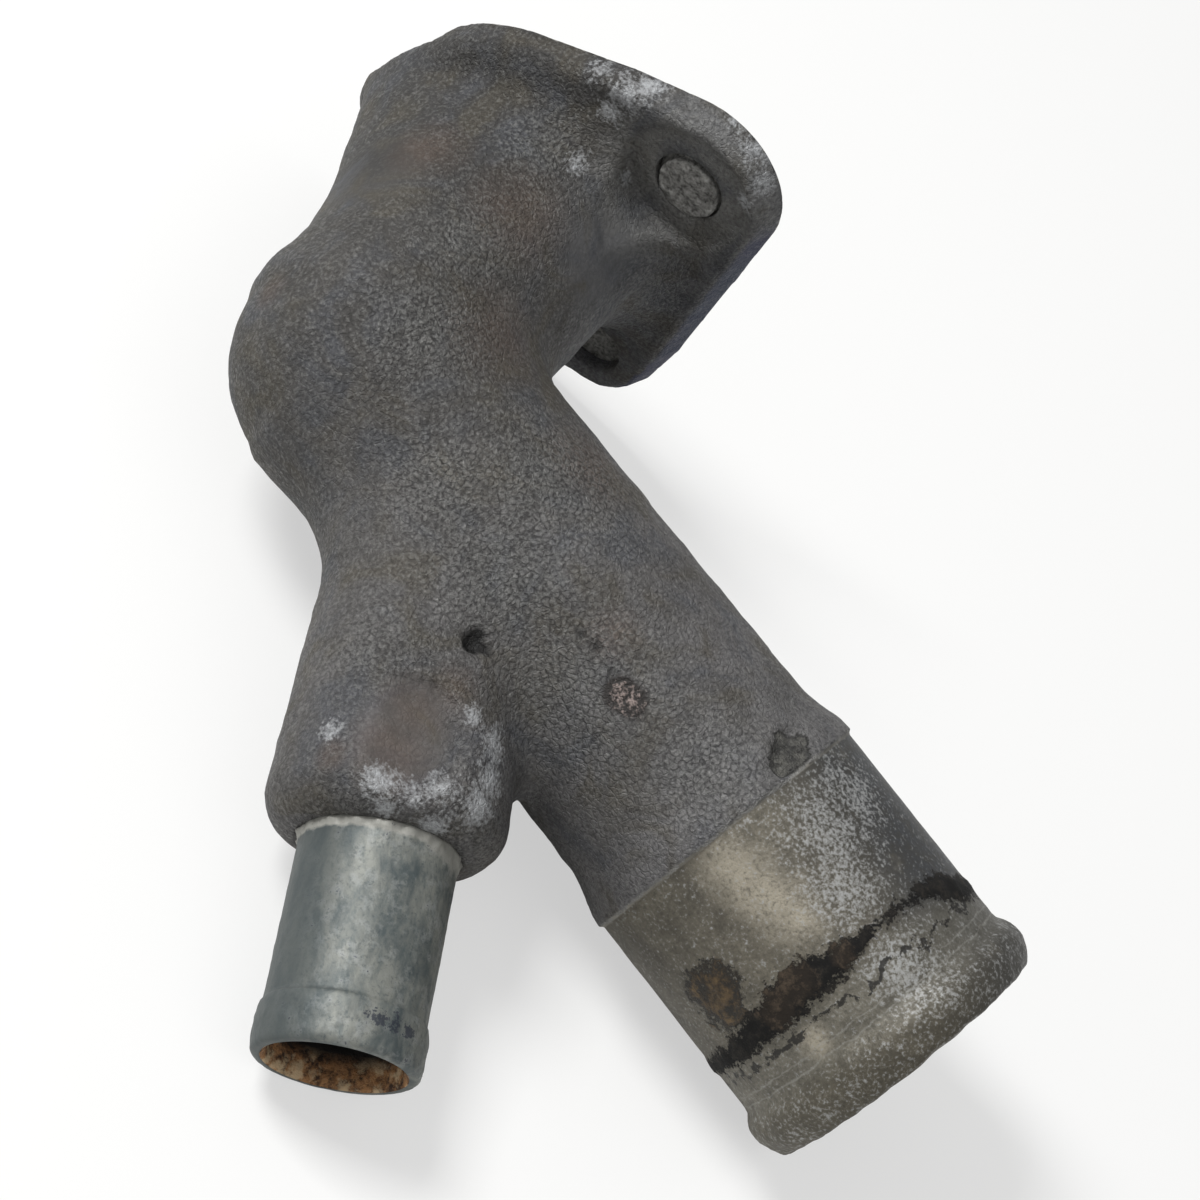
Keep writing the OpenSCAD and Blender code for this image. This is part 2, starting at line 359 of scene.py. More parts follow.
# A flaw in the mould beside the collar, blow holes in the main pipe and a burnt patch
flaw = near(skin, [(70.6, 2.2, 18.6, 3.3), (69.4, 3.8, 18.4, 2.6), (71.0, 0.2, 18.8, 1.8)])
flaw = np.clip(flaw + (flaw > 0) * 0.3 * grain(skin, 1.3, 3, 3.9), 0, 1)
flaw *= skin[:, 0] < collar_x - 0.1
lumps -= np.clip(flaw * 6, 0, 1) * (0.75 + 0.5 * grain(skin, 1.2, 2, 1.7))
blow_holes = near(skin, [(37.4, -18.6, 13.2, 1.5), (38.9, -17.6, 13.7, 1.2), (36.9, -17.3, 13.6, 1.0)])
lumps -= 1.1 * np.clip(blow_holes * 2, 0, 1)
small_pits = near(skin, [(43.9, -8.0, 15.9, 0.9), (46.2, -7.6, 16.1, 1.1), (49.6, -8.0, 16.0, 0.8)])
lumps -= 0.25 * small_pits
burnt = near(skin, [(52.6, -8.7, 15.7, 2.5), (53.9, -8.3, 15.8, 2.3)])
lumps += np.clip(burnt * 3, 0, 1) * (0.3 * grain(skin, 0.9, 2, 7.7) - 0.1)

# Tar that the hose left: one ragged band round the neck, thick in places. Each stage is the
# angle round the neck in degrees, the middle of the band along X and half its width.
tar_band = np.array([
    (15, 95.5, 0.9), (36, 95.8, 1.3), (51, 95.4, 1.8), (62, 93.6, 1.9), (75, 92.3, 0.9),
    (90, 91.9, 0.3), (105, 92.2, 0.8), (118, 92.1, 1.8), (130, 91.6, 2.5), (142, 92.4, 2.6),
    (156, 93.0, 1.9), (175, 93.7, 1.2), (204, 94.0, 1.2), (231, 93.0, 2.2), (258, 92.5, 1.2),
    (285, 93.5, 2.0), (311, 94.5, 1.1), (340, 95.0, 1.6)])
turn = np.degrees(np.arctan2(skin[:, 2], skin[:, 1])) % 360
tar_middle = np.interp(turn, tar_band[:, 0], tar_band[:, 1], period=360)
tar_reach = np.interp(turn, tar_band[:, 0], tar_band[:, 2], period=360)
tar = np.clip((tar_reach - np.abs(skin[:, 0] - tar_middle)) / 2, -1, 1)
blob = near(skin, [(87.0, -18.2, 5.9, 5.0)])
on_neck = skin_kind == NECK
tar_lumps = 0.22 * np.clip(tar * 3, 0, 1) * (1 + grain(skin, 1.6, 2, 6.6))
lumps += on_neck * (tar_lumps + 0.4 * np.clip(blob * 1.5, 0, 1))
sunk = 0.12
skin = skin + outward * (lumps - sunk)[:, None]


def mesh_piece(name, points, faces):
    """A smooth closed mesh in the part's frame, from points in the casting's axes. Each
    corner keeps its point, so that patterns and stains follow the casting's axes."""
    mesh = bpy.data.meshes.new(name)
    corners = (elbow_at + points @ casting_axes.T) * MM
    mesh.from_pydata(corners.tolist(), [], np.asarray(faces).tolist())
    mesh.shade_smooth()
    layer = mesh.attributes.new("place", "FLOAT_VECTOR", "POINT")
    layer.data.foreach_set("vector", np.asarray(points, np.float32).ravel())
    piece = bpy.data.objects.new(name, mesh)
    bpy.context.scene.collection.objects.link(piece)
    return piece


def paint(piece, name, amounts):
    """Keeps an amount for each corner of the mesh, for the material to read."""
    layer = piece.data.attributes.new(name, "FLOAT", "POINT")
    layer.data.foreach_set("value", np.asarray(amounts, np.float32))


cast_piece = mesh_piece("cast_elbow", skin, quads)
cast_piece.data.polygons.foreach_set("material_index", quad_kind.astype(np.int32))

# Where the stains and the painted highlight lie: middle in the casting's axes and radius
white_oxide = [
    (-6.2, 38.5, 26.8, 4.0), (-10.7, 38.4, 25.0, 2.6), (-5.0, 40.3, 28.8, 3.6), (-6.6, 37.5, 23.1, 2.6),
    (5.4, 44.3, 33.7, 2.6), (10.0, 44.2, 32.9, 3.8), (13.6, 43.6, 30.6, 3.4), (12.9, 42.3, 26.8, 1.9),
    (-4.4, 32.5, 18.6, 2.6), (-0.8, 38.1, 15.6, 2.0), (47.8, -35.9, 14.1, 3.2), (44.4, -24.2, 13.2, 2.0),
    (53.1, -30.2, 12.1, 4.0), (48.4, -23.7, 11.5, 3.6), (35.9, -38.2, 9.8, 2.2), (47.1, -39.6, 11.3, 2.4),
    (49.2, -33.0, 12.6, 3.2), (51.0, -27.0, 11.0, 3.8), (44.2, -38.6, 12.6, 3.4), (51.8, -36.0, 10.5, 3.4)]
rust_tint = [
    (-13.1, -7.9, 7.8, 3.4), (-3.0, 21.2, 17.9, 9.0), (-16.8, 19.4, 13.2, 7.0), (42.0, -34.9, 14.0, 7.0),
    (40.0, -30.0, 14.0, 6.0), (38.0, -40.5, 11.0, 3.0), (40.5, -24.0, 13.0, 4.0), (8.0, 8.0, 15.0, 9.0),
    (46.5, -5.0, 16.9, 4.6), (28.0, 8.0, 15.5, 8.0)]
smooth_pad = [
    (42.0, -33.0, 14.0, 7.5), (39.5, -29.5, 14.0, 5.5), (8.0, 30.0, 14.0, 9.0), (-17.0, 14.0, 7.0, 10.0)]
frost = [
    (3.9, 0.7, 17.2, 10.0), (27.8, 1.8, 17.5, 14.0), (33.1, -11.0, 13.8, 13.0), (-3.0, 12.0, 17.0, 8.0),
    (50.0, -12.0, 15.0, 14.0), (-9.0, 30.0, 18.0, 7.0), (66.0, -6.0, 17.0, 10.0), (20.0, -10.0, 15.0, 9.0),
    (52.0, -31.0, 8.0, 9.0), (46.0, -42.0, 8.0, 7.0), (33.0, -26.0, 8.0, 9.0), (80.0, 0.0, 19.0, 9.0),
    (86.0, -3.0, 19.0, 8.0), (78.0, 6.0, 18.0, 8.0), (98.0, -3.0, 19.0, 7.0)]
# Painted highlight: a cream streak along the top of the neck
cream = [
    (75.5, -11.5, 15.4, 5.5), (78.0, -11.2, 15.6, 6.0), (80.5, -10.8, 15.8, 6.0), (83.0, -10.0, 16.3, 5.6),
    (85.5, -9.0, 16.9, 4.8), (98.0, -15.0, 12.0, 3.0)]
brown_scab = [(91.0, -13.0, 13.8, 3.6), (92.4, -15.6, 11.0, 3.4), (92.0, -8.0, 17.3, 2.2)]
for name, places in (("oxide", white_oxide), ("rust", rust_tint), ("smooth", smooth_pad),
                     ("frost", frost), ("cream", cream), ("scab", brown_scab)):
    paint(cast_piece, name, near(skin, places))

# Painted shade in navy on one side of the flange's rim, and the tones of the flange's back: slate, painted
# shade on one flank of the neck by the flange (dusk) and painted light round the upper ear
u, h = skin @ flange_side, skin @ flange_dir
# Painted shade: a navy tint on one side of the flange's rim
rim = np.clip((h - seat_z - 0.4) / 0.5, 0, 1)
rim *= np.clip((u - 8) / 4, 0, 1) * np.clip((25 - skin[:, 2]) / 5, 0, 1)
faces_out = (outward @ flange_side > 0.35) & (np.abs(outward @ flange_dir) < 0.8)
rim *= faces_out & (cast_outside(skin) > -0.6)
slate = np.clip((u - 2) / 10, 0, 1) * np.clip((h - 14) / 14, 0, 1)
# Painted shade: darker on one flank of the neck towards the flange
dusk = np.clip((h - 10) / 10, 0, 1) * np.clip((5 - u) / 8, 0, 1)
# Painted light: paler round the upper bolt's ear and spot face
ear_middle = bolts[0] - flange_dir * (bolts[0] @ flange_dir - seat_z)
ear = np.clip(2 * near(skin, [(*ear_middle, 13.5)]), 0, 1)
for name, amounts in (("tar", tar), ("blob", blob), ("rim", rim), ("slate", slate), ("dusk", dusk),
                      ("ear", ear), ("flaw", flaw), ("burnt", burnt),
                      ("holes", np.maximum(blow_holes, 0.3 * small_pits))):
    paint(cast_piece, name, amounts)


def srgb(hexcode):
    """Linear colour of an sRGB hex value."""
    parts = [int(hexcode[i:i + 2], 16) / 255 for i in (1, 3, 5)]
    return tuple(p / 12.92 if p <= 0.04045 else ((p + 0.055) / 1.055) ** 2.4 for p in parts) + (1.0,)


def node(tree, kind, inputs=None, out=0, **settings):
    """Adds a node with its settings and its inputs' values or links, and gives one output."""
    made = tree.nodes.new(kind)
    for key, value in settings.items():
        setattr(made, key, value)
    for key, value in (inputs or {}).items():
        if isinstance(value, bpy.types.NodeSocket):
            tree.links.new(value, made.inputs[key])
        else:
            made.inputs[key].default_value = value
    return made.outputs[out] if made.outputs else made


# A colour mix has its colours in sockets 6 and 7 and gives output 2. An attribute gives its
# amount in output 2 and its vector in output 1.
MIX_A, MIX_B = 6, 7
COLOURS = {"data_type": "RGBA", "out": 2}


def new_material(name):
    """An empty material and its nodes, with each spot's place in the casting's axes in mm."""
    material = bpy.data.materials.new(name)
    material.use_nodes = True
    tree = material.node_tree
    tree.nodes.clear()
    return material, tree, node(tree, "ShaderNodeAttribute", out=1, attribute_name="place")


# Sand-cast aluminium, long out in the weather: a dull dark grey oxide skin over a
# crystalline grain half a millimetre across, pale on its tops (partly painted glints) and dark in its gaps,
# with brown, olive and blue-grey tints. It scatters nearly all light, so it is part metal and rough.
cast_skin, tree, place = new_material("weathered_cast_aluminium")
fine, coarse, broad, ragged = (
    node(tree, "ShaderNodeTexNoise",
         {"Vector": place, "Scale": 1 / size, "Detail": detail, "Roughness": rough})
    for size, detail, rough in ((0.5, 3.0, 0.6), (2.6, 5.0, 0.65), (11, 3.0, 0.5), (1.6, 6.0, 0.75)))
drift = node(tree, "ShaderNodeTexNoise", {"Vector": place, "Scale": 1 / 8, "Detail": 4.0, "Distortion": 0.8})
bent = node(tree, "ShaderNodeTexNoise", {"Vector": place, "Scale": 1 / 0.9, "Detail": 2.0}, out=1)
bent = node(tree, "ShaderNodeVectorMath", {0: bent, 1: (0.7, 0.7, 0.7), 2: place}, operation="MULTIPLY_ADD")
crackle = node(tree, "ShaderNodeTexVoronoi", {"Vector": bent, "Scale": 1 / 0.85}, feature="DISTANCE_TO_EDGE")
along = node(tree, "ShaderNodeSeparateXYZ", {0: place})
amount = {name: node(tree, "ShaderNodeAttribute", out=2, attribute_name=name)
          for name in ("frost", "oxide", "rust", "smooth", "flaw", "holes", "burnt", "rim", "slate",
                       "dusk", "ear")}

tone = node(tree, "ShaderNodeMapRange", {"Value": broad, "From Min": 0.36, "From Max": 0.64})
# The last pair is the navy of painted shade on the flange's rim
dark_ground, pale_ground, painted_rim_shade_colour = (
    node(tree, "ShaderNodeMix", {0: tone, MIX_A: srgb(low), MIX_B: srgb(high)}, **COLOURS)
    for low, high in (("#3f3d3b", "#4d4b49"), ("#504e4d", "#626060"), ("#2c2e4a", "#2f374c")))
pipe_share = node(tree, "ShaderNodeMapRange", {"Value": along, "From Min": -6.0, "From Max": 30.0})
ground = node(tree, "ShaderNodeMix", {0: pipe_share, MIX_A: dark_ground, MIX_B: pale_ground}, **COLOURS)
rust_edge = node(tree, "ShaderNodeMath", {0: amount["rust"], 1: drift}, operation="MULTIPLY")

# Each layer over the last, stains and also painted shade (dusk) and painted light (ear): what it follows, the
# values of that where it starts and where it is full, how much of it shows at its fullest, and its colour
for value, start, full, most, colour in (
        (along, 45.0, 70.0, 0.45, "#7a797a"), (amount["dusk"], 0.0, 1.0, 0.6, "#2f2e2e"),
        (amount["slate"], 0.0, 1.0, 0.75, "#66676a"), (amount["ear"], 0.0, 1.0, 0.8, "#7c7b77"),
        (drift, 0.52, 0.66, 0.6, "#484b52"), (drift, 0.47, 0.34, 0.55, "#504a3d"),
        (rust_edge, 0.02, 0.4, 0.4, "#5f4b3b"), (coarse, 0.58, 0.34, 0.4, "#393836")):
    share = node(tree, "ShaderNodeMapRange",
                 {"Value": value, "From Min": start, "From Max": full, "To Max": most})
    ground = node(tree, "ShaderNodeMix", {0: share, MIX_A: ground, MIX_B: srgb(colour)}, **COLOURS)

# Gaps between the grains, cracks in the frost and pale flecks on the grains' tops, partly grain colour and
# partly painted glints
calm = node(tree, "ShaderNodeMapRange", {"Value": amount["smooth"], "From Min": 0.05, "From Max": 0.4,
                                         "To Min": 1.0, "To Max": 0.3})
gap_share = node(tree, "ShaderNodeMapRange", {"Value": fine, "From Min": 0.5, "From Max": 0.3, "To Max": 0.5})
gap_share = node(tree, "ShaderNodeMath", {0: gap_share, 1: calm}, operation="MULTIPLY")
frost = node(tree, "ShaderNodeMath", {0: coarse, 1: 1.4, 2: amount["frost"]}, operation="MULTIPLY_ADD")
frost = node(tree, "ShaderNodeMapRange", {"Value": frost, "From Min": 0.6, "From Max": 1.5})
crack_width = node(tree, "ShaderNodeMapRange", {"Value": crackle, "From Min": 0.16, "From Max": 0.03})
crack_share = node(tree, "ShaderNodeMath", {0: crack_width, 1: frost}, operation="MULTIPLY")
crack_share = node(tree, "ShaderNodeMath", {0: crack_share, 1: 0.7}, operation="MULTIPLY")
frosted = node(tree, "ShaderNodeMath", {0: frost, 1: 0.11, 2: fine}, operation="MULTIPLY_ADD")
fleck = node(tree, "ShaderNodeMapRange", {"Value": frosted, "From Min": 0.5, "From Max": 0.78, "To Max": 0.5})
fleck = node(tree, "ShaderNodeMath", {0: fleck, 1: calm}, operation="MULTIPLY")

# White oxide, the flaw with painted shadow round its edge, the burnt patch, the blow holes with painted shade
# in them and a painted highlight on the collar's edge
oxide_grown = node(tree, "ShaderNodeMath", {0: ragged, 1: 1.7, 2: amount["oxide"]}, operation="MULTIPLY_ADD")
oxide_grown = node(tree, "ShaderNodeMath", {0: fine, 1: 1.6, 2: oxide_grown}, operation="MULTIPLY_ADD")
oxide_share = node(tree, "ShaderNodeMapRange", {"Value": oxide_grown, "From Min": 1.9, "From Max": 2.65,
                                                "To Max": 0.95})
has_oxide = node(tree, "ShaderNodeMapRange", {"Value": amount["oxide"], "From Max": 0.15})
oxide_share = node(tree, "ShaderNodeMath", {0: oxide_share, 1: has_oxide}, operation="MULTIPLY")
flaw_grown = node(tree, "ShaderNodeMath", {0: ragged, 1: 0.7, 2: amount["flaw"]}, operation="MULTIPLY_ADD")
flaw_share = node(tree, "ShaderNodeMapRange", {"Value": flaw_grown, "From Min": 0.42, "From Max": 0.5,
                                               "To Max": 0.8})
has_flaw = node(tree, "ShaderNodeMapRange", {"Value": amount["flaw"], "From Max": 0.04})
flaw_share = node(tree, "ShaderNodeMath", {0: flaw_share, 1: has_flaw}, operation="MULTIPLY")
# Painted shadow: near black round the flaw's edge and dark between its lumps
flaw_out_of_shadow = node(tree, "ShaderNodeMapRange", {"Value": flaw_grown, "From Min": 0.58, "From Max": 0.7})
flaw_lumps = node(tree, "ShaderNodeMapRange", {"Value": ragged, "From Min": 0.42, "From Max": 0.64})
burnt_share = node(tree, "ShaderNodeMapRange", {"Value": amount["burnt"], "From Max": 0.2, "To Max": 0.9})
burnt_tone = node(tree, "ShaderNodeMath", {0: amount["burnt"], 1: 0.22, 2: fine}, operation="MULTIPLY_ADD")
burnt_tone = node(tree, "ShaderNodeMapRange", {"Value": burnt_tone, "From Min": 0.6, "From Max": 0.8})
flaw_tone_and_shadow, burnt_colour = (
    node(tree, "ShaderNodeMix", {0: value, MIX_A: srgb(low), MIX_B: srgb(high)}, **COLOURS)
    for value, low, high in ((flaw_lumps, "#191917", "#5f5e58"), (burnt_tone, "#2b2725", "#958680")))
flaw_colour_and_shadow = node(tree, "ShaderNodeMix", {0: flaw_out_of_shadow, MIX_A: srgb("#1c1c19"), MIX_B: flaw_tone_and_shadow},
                   **COLOURS)
# Painted shade: near black in the blow holes and a little in the small pits
painted_hole_shade = node(tree, "ShaderNodeMapRange", {"Value": amount["holes"], "From Max": 0.25})
# Painted highlight: a pale line on the collar's edge
collar_highlight_edge = node(tree, "ShaderNodeMath", {0: ragged, 1: 0.9, 2: along}, operation="MULTIPLY_ADD")
collar_highlight_share = node(tree, "ShaderNodeMapRange", {"Value": collar_highlight_edge, "From Min": collar_x + 0.05,
                                                 "From Max": collar_x + 0.35, "To Max": 0.5})
painted_rim_shade_share = node(tree, "ShaderNodeMath", {0: amount["rim"], 1: 0.95}, operation="MULTIPLY")
for share, colour in (
        (gap_share, srgb("#2d2c2a")), (crack_share, srgb("#2a2a2a")), (fleck, srgb("#7d7d7a")),
        (oxide_share, srgb("#a9abad")), (flaw_share, flaw_colour_and_shadow), (burnt_share, burnt_colour),
        (painted_hole_shade, srgb("#0f0e0d")), (collar_highlight_share, srgb("#9a9994")), (painted_rim_shade_share, painted_rim_shade_colour)):
    ground = node(tree, "ShaderNodeMix", {0: share, MIX_A: ground, MIX_B: colour}, **COLOURS)

roughness = node(tree, "ShaderNodeMapRange", {"Value": fleck, "From Max": 0.5,
                                              "To Min": 0.68, "To Max": 0.42})
relief = node(tree, "ShaderNodeMath", {0: fine, 1: 1.2, 2: ragged}, operation="MULTIPLY_ADD")
relief = node(tree, "ShaderNodeMath", {0: crack_width, 1: -0.35, 2: relief}, operation="MULTIPLY_ADD")
bump = node(tree, "ShaderNodeBump", {"Height": relief, "Distance": 0.2 * MM, "Strength": calm})
surface = node(tree, "ShaderNodeBsdfPrincipled", {"Base Color": ground, "Roughness": roughness,
                                                  "Metallic": 0.3, "Normal": bump})
node(tree, "ShaderNodeOutputMaterial", {"Surface": surface})

# Turned aluminium, where the hose was clamped: an olive-grey film with a painted cream highlight along it,
# pale etched flecks, and the black tar that the hose left in a ragged band at its end. The film
# dulls the metal, which still shines a little more than the cast skin.
turned_neck, tree, place = new_material("corroded_turned_aluminium")
fine, broad, coarse, ragged, wander = (
    node(tree, "ShaderNodeTexNoise",
         {"Vector": place, "Scale": 1 / size, "Detail": detail, "Roughness": rough})
    for size, detail, rough in (
        (0.5, 3.0, 0.65), (9, 4.0, 0.5), (2.6, 5.0, 0.65), (1.8, 6.0, 0.75), (3.5, 5.0, 0.6)))
along = node(tree, "ShaderNodeSeparateXYZ", {0: place})
across = node(tree, "ShaderNodeSeparateXYZ", {0: place}, out=1)
amount = {name: node(tree, "ShaderNodeAttribute", out=2, attribute_name=name)
          for name in ("frost", "cream", "tar", "blob", "scab")}

# The film and its flecks, paler past the band of tar and browner on the bead, with painted blue-grey shade on
# one side
tone = node(tree, "ShaderNodeMapRange", {"Value": broad, "From Min": 0.35, "From Max": 0.65})
ground = node(tree, "ShaderNodeMix", {0: tone, MIX_A: srgb("#57534a"), MIX_B: srgb("#6f6a5e")}, **COLOURS)
# Painted shade: blue-grey and darker towards one side of the neck and its bead
painted_blue_shade = node(tree, "ShaderNodeMapRange", {"Value": across, "From Min": -5.0, "From Max": 8.0})
past_band = node(tree, "ShaderNodeMapRange", {"Value": along, "From Min": 93.0, "From Max": 96.0,
                                              "To Max": 0.55})
on_bead = node(tree, "ShaderNodeMapRange", {"Value": along, "From Min": main_len - 7,
                                            "From Max": main_len - 4.5, "To Max": 0.75})
bead_colour = node(tree, "ShaderNodeMix", {0: painted_blue_shade, MIX_A: srgb("#504a3c"), MIX_B: srgb("#3d3c3a")},
                   **COLOURS)
mottle = node(tree, "ShaderNodeMapRange", {"Value": coarse, "From Min": 0.56, "From Max": 0.34,
                                           "To Max": 0.5})
highlight_streak_grown = node(tree, "ShaderNodeMath", {0: wander, 1: amount["cream"]}, operation="ADD")
highlight_streak_share = node(tree, "ShaderNodeMapRange", {"Value": highlight_streak_grown, "From Min": 0.6, "From Max": 1.4,
                                                "To Max": 0.9})
gap_share = node(tree, "ShaderNodeMapRange", {"Value": fine, "From Min": 0.5, "From Max": 0.3, "To Max": 0.6})
frost = node(tree, "ShaderNodeMath", {0: coarse, 1: 1.2, 2: amount["frost"]}, operation="MULTIPLY_ADD")
frost = node(tree, "ShaderNodeMath", {0: on_bead, 1: 0.35, 2: frost}, operation="MULTIPLY_ADD")
frost = node(tree, "ShaderNodeMapRange", {"Value": frost, "From Min": 0.6, "From Max": 1.4})
frosted = node(tree, "ShaderNodeMath", {0: frost, 1: 0.17, 2: fine}, operation="MULTIPLY_ADD")
fleck = node(tree, "ShaderNodeMapRange", {"Value": frosted, "From Min": 0.57, "From Max": 0.76,
                                          "To Max": 0.8})
layers = [(painted_blue_shade, srgb("#3f4144")), (past_band, srgb("#77746a")), (on_bead, bead_colour),
          (mottle, srgb("#403d35")), (highlight_streak_share, srgb("#a29b8b")), (gap_share, srgb("#3d3b35")),
          (fleck, srgb("#a3a4a3"))]

# Two pale lines that run round the neck
wavering = node(tree, "ShaderNodeMath", {0: wander, 1: 1.6, 2: along}, operation="MULTIPLY_ADD")
for turned_line in (98.8, 100.1):
    aside = node(tree, "ShaderNodeMath", {0: wavering, 1: turned_line + 0.8}, operation="SUBTRACT")
    aside = node(tree, "ShaderNodeMath", {0: aside}, operation="ABSOLUTE")
    aside = node(tree, "ShaderNodeMath", {0: ragged, 1: -0.5, 2: aside}, operation="MULTIPLY_ADD")
    line_share = node(tree, "ShaderNodeMapRange", {"Value": aside, "From Min": -0.08, "From Max": -0.3,
                                                   "To Max": 0.5})
    layers.append((line_share, srgb("#9b9a94")))

# The brown blob, the tar with its scabs, the crack past it and a painted highlight on the edge by the collar
blob_grown = node(tree, "ShaderNodeMath", {0: ragged, 1: 2.4, 2: amount["blob"]}, operation="MULTIPLY_ADD")
blob_share = node(tree, "ShaderNodeMapRange", {"Value": blob_grown, "From Min": 1.25, "From Max": 1.4,
                                               "To Max": 0.9})
has_blob = node(tree, "ShaderNodeMapRange", {"Value": amount["blob"], "From Max": 0.05})
blob_share = node(tree, "ShaderNodeMath", {0: blob_share, 1: has_blob}, operation="MULTIPLY")
blob_inner = node(tree, "ShaderNodeMapRange", {"Value": blob_grown, "From Min": 1.42, "From Max": 1.8})
blob_lumps = node(tree, "ShaderNodeMapRange", {"Value": ragged, "From Min": 0.44, "From Max": 0.66})
tar_grown = node(tree, "ShaderNodeMath", {0: ragged, 1: 3.0, 2: amount["tar"]}, operation="MULTIPLY_ADD")
tar_grown = node(tree, "ShaderNodeMath", {0: fine, 1: 0.9, 2: tar_grown}, operation="MULTIPLY_ADD")
tar_share = node(tree, "ShaderNodeMapRange", {"Value": tar_grown, "From Min": 1.85, "From Max": 2.05})
scab_grown = node(tree, "ShaderNodeMath", {0: ragged, 1: 1.2, 2: amount["scab"]}, operation="MULTIPLY_ADD")
scab_share = node(tree, "ShaderNodeMapRange", {"Value": scab_grown, "From Min": 0.75, "From Max": 1.0,
                                               "To Max": 0.85})
has_scab = node(tree, "ShaderNodeMapRange", {"Value": amount["scab"], "From Max": 0.1})
scab_share = node(tree, "ShaderNodeMath", {0: scab_share, 1: has_scab}, operation="MULTIPLY")
tar_lumps = node(tree, "ShaderNodeMapRange", {"Value": ragged, "From Min": 0.5, "From Max": 0.68})
blob_tone, tar_tone, scab_tone = (
    node(tree, "ShaderNodeMix", {0: lumps, MIX_A: srgb(low), MIX_B: srgb(high)}, **COLOURS)
    for lumps, low, high in ((blob_lumps, "#251d15", "#6b5638"), (tar_lumps, "#0c0b0a", "#2e2a25"),
                             (tar_lumps, "#2a231c", "#5a4d3f")))
blob_colour = node(tree, "ShaderNodeMix", {0: blob_inner, MIX_A: srgb("#1b1917"), MIX_B: blob_tone},
                   **COLOURS)
tar_colour = node(tree, "ShaderNodeMix", {0: scab_share, MIX_A: tar_tone, MIX_B: scab_tone}, **COLOURS)
crack_line = node(tree, "ShaderNodeMath", {0: wander, 1: -6.0, 2: 99.4}, operation="MULTIPLY_ADD")
crack_away = node(tree, "ShaderNodeMath", {0: along, 1: crack_line}, operation="SUBTRACT")
crack_away = node(tree, "ShaderNodeMath", {0: crack_away}, operation="ABSOLUTE")
crack_reach = node(tree, "ShaderNodeMath", {0: ragged, 1: -3.5, 2: crack_away}, operation="MULTIPLY_ADD")
crack_share = node(tree, "ShaderNodeMapRange", {"Value": crack_reach, "From Min": -1.36, "From Max": -1.56,
                                                "To Max": 0.9})
# Painted highlight: a pale line on the neck's side of the collar's edge
collar_highlight_line = node(tree, "ShaderNodeMapRange", {"Value": along, "From Min": collar_x + 0.3,
                                              "From Max": collar_x + 0.1, "To Max": 0.6})
layers += [(blob_share, blob_colour), (tar_share, tar_colour), (crack_share, srgb("#1d1b19")),
           (collar_highlight_line, srgb("#8d8a82"))]
for share, colour in layers:
    ground = node(tree, "ShaderNodeMix", {0: share, MIX_A: ground, MIX_B: colour}, **COLOURS)

roughness = node(tree, "ShaderNodeMapRange", {"Value": tar_share, "To Min": 0.55, "To Max": 0.85})
crust = node(tree, "ShaderNodeMath", {0: tar_share, 1: blob_share}, operation="MAXIMUM")
crust = node(tree, "ShaderNodeMath", {0: crust, 1: ragged}, operation="MULTIPLY")
relief = node(tree, "ShaderNodeMath", {0: crust, 1: 3.0, 2: fine}, operation="MULTIPLY_ADD")
bump = node(tree, "ShaderNodeBump", {"Height": relief, "Distance": 0.12 * MM, "Strength": 0.9})
surface = node(tree, "ShaderNodeBsdfPrincipled", {"Base Color": ground, "Roughness": roughness,
                                                  "Metallic": 0.35, "Normal": bump})
node(tree, "ShaderNodeOutputMaterial", {"Surface": surface})

# Milled aluminium, the gasket's seat: pale dull metal in faint arcs, with a dark ring of
# burnt-on gasket and grey bloom where water crept under it.
gasket_face, tree, place = new_material("stained_milled_aluminium")
ragged, broad = (
    node(tree, "ShaderNodeTexNoise",
         {"Vector": place, "Scale": 1 / size, "Detail": detail, "Roughness": rough})
    for size, detail, rough in ((2.2, 6.0, 0.7), (10, 3.0, 0.5)))
cutter = node(tree, "ShaderNodeTexWave", {"Vector": place, "Scale": 1 / 1.6, "Distortion": 1.5},
              wave_type="RINGS", rings_direction="SPHERICAL")
ground = node(tree, "ShaderNodeMix", {0: broad, MIX_A: srgb("#6d6b66"), MIX_B: srgb("#8b8983")}, **COLOURS)
ground = node(tree, "ShaderNodeMix", {0: 0.25, MIX_A: ground, MIX_B: cutter}, blend_type="MULTIPLY",
              **COLOURS)
from_port = node(tree, "ShaderNodeVectorMath", {0: place, 1: tuple(neck_run * flange_dir)}, out=1,
                 operation="DISTANCE")
ring = node(tree, "ShaderNodeMath", {0: ragged, 1: 9.0, 2: from_port}, operation="MULTIPLY_ADD")
for value, start, full, most, colour in (
        (ring, 24.5, 23.0, 0.85, "#35332f"), (ragged, 0.58, 0.7, 0.7, "#a9aba9")):
    share = node(tree, "ShaderNodeMapRange",
                 {"Value": value, "From Min": start, "From Max": full, "To Max": most})
    ground = node(tree, "ShaderNodeMix", {0: share, MIX_A: ground, MIX_B: srgb(colour)}, **COLOURS)
bump = node(tree, "ShaderNodeBump", {"Height": ragged, "Distance": 0.1 * MM, "Strength": 0.7})
surface = node(tree, "ShaderNodeBsdfPrincipled", {"Base Color": ground, "Roughness": 0.5, "Metallic": 0.5,
                                                  "Normal": bump})
node(tree, "ShaderNodeOutputMaterial", {"Surface": surface})

